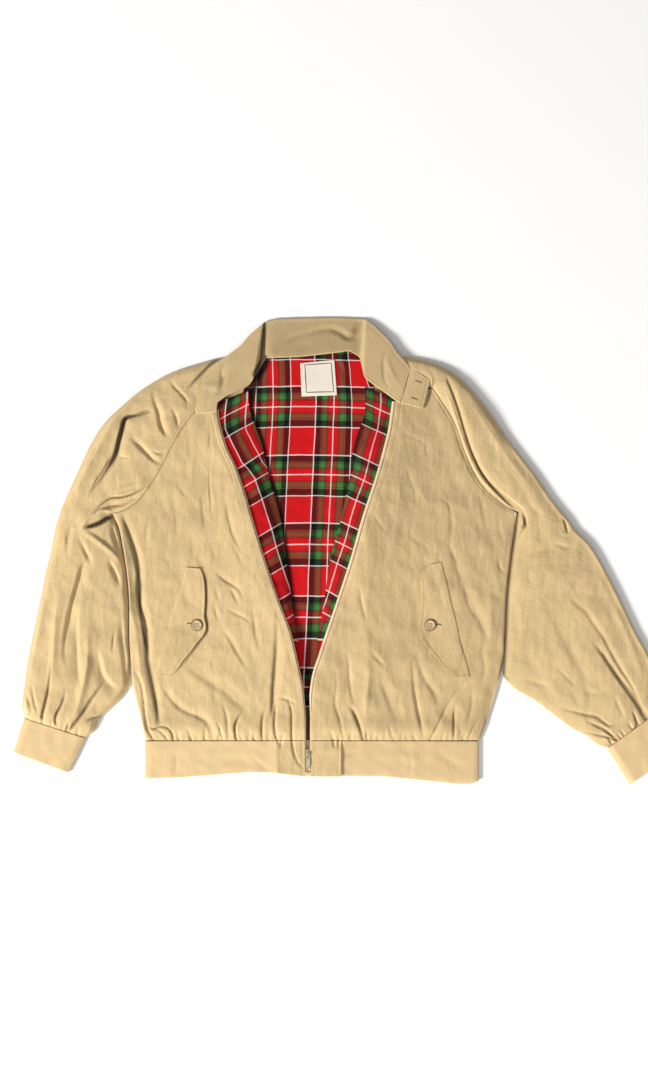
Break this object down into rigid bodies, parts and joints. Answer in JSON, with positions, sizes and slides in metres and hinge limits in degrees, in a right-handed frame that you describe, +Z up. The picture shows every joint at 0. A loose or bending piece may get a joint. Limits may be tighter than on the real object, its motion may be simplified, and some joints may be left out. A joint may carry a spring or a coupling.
{
  "type": "harrington jacket",
  "caption": "Tan harrington jacket laid flat on its back, unzipped, with an open stand collar, tartan lining, slanted pocket flaps, raglan sleeves and rib knit hem and cuffs",
  "frame": {"origin": "middle of the jacket's flat underside, where the back panel rests", "axes": "X runs across the spread sleeves towards the wearer's left, Y from the hem towards the collar, Z up from the surface it lies on"},
  "size_m": [0.999, 0.702, 0.0142],
  "materials": {
    "cotton_shell": "matte plain-woven cotton",
    "rib_knit": "matte rib knit",
    "tartan_lining": "matte woven tartan",
    "label_cloth": "matte woven tape",
    "zip_tape": "matte woven tape",
    "zip_metal": "satin",
    "button_horn": "polished horn look"
  },
  "bodies": {
    "garment": {"back": "cotton_shell", "back_lining": "tartan_lining", "neck_label": "label_cloth", "right_front": "cotton_shell", "left_front": "cotton_shell", "right_front_lining": "tartan_lining", "left_front_lining": "tartan_lining", "right_sleeve": "cotton_shell", "left_sleeve": "cotton_shell", "right_cuff": "rib_knit", "left_cuff": "rib_knit", "waistband": "rib_knit", "right_hem_tab": "cotton_shell", "left_hem_tab": "cotton_shell", "collar": "cotton_shell", "collar_tab": "cotton_shell", "right_pocket_flap": "cotton_shell", "left_pocket_flap": "cotton_shell", "right_flap_button": "button_horn", "left_flap_button": "button_horn", "right_zip_tape": "zip_tape", "left_zip_tape": "zip_tape", "zip_slider": "zip_metal"},
    "pull": {"zip_pull": "zip_metal"}
  },
  "joints": [
    {"name": "pull_swing", "type": "hinge", "parent": "garment", "child": "pull", "pos_m": [-0.0585, -0.304, 0.00828], "axis": [-1, 0, 0], "range_deg": [0, 170]}
  ]
}
